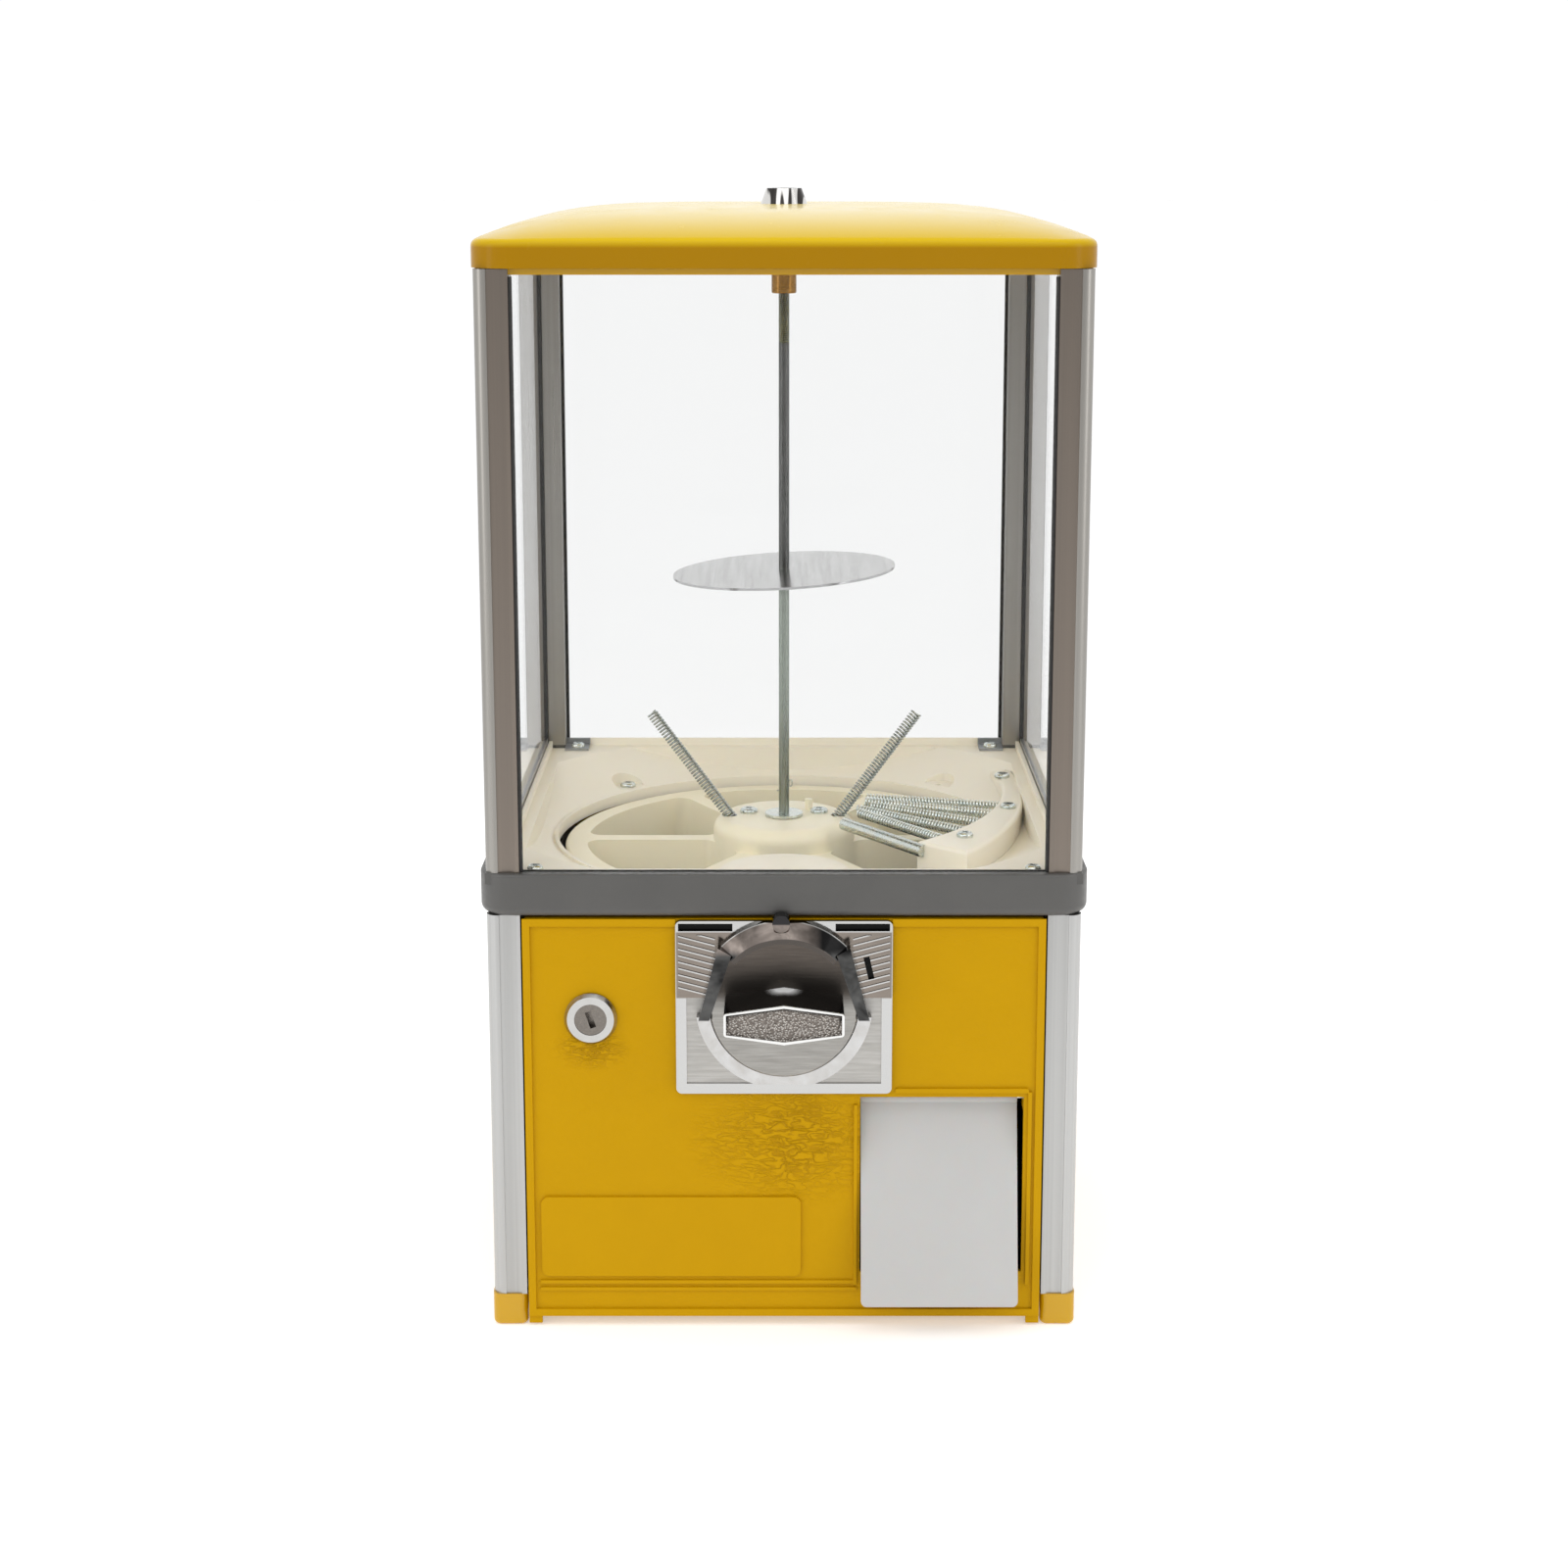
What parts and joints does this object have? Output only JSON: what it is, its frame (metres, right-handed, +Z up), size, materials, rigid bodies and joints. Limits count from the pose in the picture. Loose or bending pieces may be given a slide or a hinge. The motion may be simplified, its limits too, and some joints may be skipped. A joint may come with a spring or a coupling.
{
  "type": "capsule vending machine",
  "caption": "Countertop capsule vending machine: a clear product chamber on fluted corner posts over a metal base with a coin mechanism, cam lock, capsule wheel and delivery flap.",
  "frame": {"origin": "on the floor, under the centre rod, midway between the four feet", "axes": "+Z up along the centre rod, front with the coin mechanism faces -Y, +X to the right seen from the front"},
  "size_m": [0.32, 0.358, 0.6036],
  "materials": {
    "yellow_metal": "hammered",
    "yellow_plastic": "gloss",
    "dark_plastic": "satin",
    "bronze_aluminium": "anodised",
    "satin_aluminium": "satin anodised",
    "clear_pane": "clear",
    "ivory_plastic": "satin",
    "zinc_steel": "zinc plated",
    "galvanised_sheet": "galvanised",
    "chrome_casting": "polished",
    "satin_steel": "satin",
    "polished_steel": "polished",
    "brass": "turned",
    "rubber": "matte",
    "gear_plastic": "moulded",
    "frosted_plastic": "frosted"
  },
  "bodies": {
    "cabinet": {"foot_caps": "yellow_plastic", "lower_post_front_left": "satin_aluminium", "lower_post_front_right": "satin_aluminium", "lower_post_back_left": "satin_aluminium", "lower_post_back_right": "satin_aluminium", "upper_post_front_left": "bronze_aluminium", "upper_post_front_right": "bronze_aluminium", "upper_post_back_left": "bronze_aluminium", "upper_post_back_right": "bronze_aluminium", "base_band": "dark_plastic", "base_plate": "galvanised_sheet", "left_panel": "yellow_metal", "right_panel": "yellow_metal", "back_panel": "yellow_metal", "window_front": "clear_pane", "window_back": "clear_pane", "window_left": "clear_pane", "window_right": "clear_pane", "top_frame": "yellow_plastic", "product_tray": "ivory_plastic", "wheel_shield": "ivory_plastic", "wheel_floor": "galvanised_sheet", "capsule_chute": "galvanised_sheet", "cash_box": "galvanised_sheet", "centre_rod": "zinc_steel", "rod_washer": "zinc_steel", "rod_base_nut": "zinc_steel", "corner_brackets": "galvanised_sheet", "tray_screws": "zinc_steel", "spring_cover": "ivory_plastic", "guard_springs": "zinc_steel", "guard_bar": "zinc_steel", "cover_screws": "zinc_steel"},
    "wheel": {"capsule_wheel": "ivory_plastic", "ring_gear": "gear_plastic", "agitator_springs": "zinc_steel", "hub_screws": "zinc_steel"},
    "door": {"front_panel": "yellow_metal", "flap_pin": "zinc_steel", "mech_plate": "chrome_casting", "coin_shroud": "chrome_casting", "mech_housing": "satin_steel", "mech_bolts": "zinc_steel", "lock_barrel": "chrome_casting", "lock_nut": "satin_steel"},
    "handle": {"turn_handle": "chrome_casting", "handle_shaft": "satin_steel", "coin_carrier": "satin_steel", "shaft_collar": "satin_steel", "drive_pinion": "gear_plastic"},
    "door_lock": {"lock_plug": "satin_steel", "lock_cam": "satin_steel"},
    "flap": {"delivery_flap": "frosted_plastic"},
    "lid": {"lid_shell": "yellow_plastic", "lid_lock_ring": "chrome_casting", "lid_lock_nut": "satin_steel"},
    "top_lock": {"top_lock_plug": "satin_steel", "brass_nut": "brass"},
    "disc": {"level_disc": "polished_steel", "disc_grommet": "rubber"}
  },
  "joints": [
    {"name": "wheel_spin", "type": "hinge", "parent": "cabinet", "child": "wheel", "pos_m": [0, 0, 0.215], "axis": [0, 0, 1], "continuous": true},
    {"name": "front_panel_pull", "type": "slide", "parent": "cabinet", "child": "door", "axis": [0, -1, 0], "range_m": [0, 0.12]},
    {"name": "handle_turn", "type": "hinge", "parent": "door", "child": "handle", "pos_m": [0, -0.15, 0.184], "axis": [0, 1, 0], "continuous": true},
    {"name": "door_lock_turn", "type": "hinge", "parent": "door", "child": "door_lock", "pos_m": [-0.102, -0.15, 0.174], "axis": [0, 1, 0], "range_deg": [0, 90]},
    {"name": "flap_swing", "type": "hinge", "parent": "door", "child": "flap", "pos_m": [0.0828, -0.146, 0.1265], "axis": [-1, 0, 0], "range_deg": [0, 65]},
    {"name": "lid_lift", "type": "slide", "parent": "cabinet", "child": "lid", "axis": [0, 0, 1], "range_m": [0, 0.09]},
    {"name": "top_lock_turn", "type": "hinge", "parent": "lid", "child": "top_lock", "pos_m": [0, 0, 0.58], "axis": [0, 0, 1], "range_deg": [0, 90]},
    {"name": "disc_slide", "type": "slide", "parent": "cabinet", "child": "disc", "axis": [0, 0, 1], "range_m": [-0.06, 0.12]}
  ],
  "couplings": [
    {"joint": "handle_turn", "follows": "wheel_spin", "ratio": 6}
  ]
}
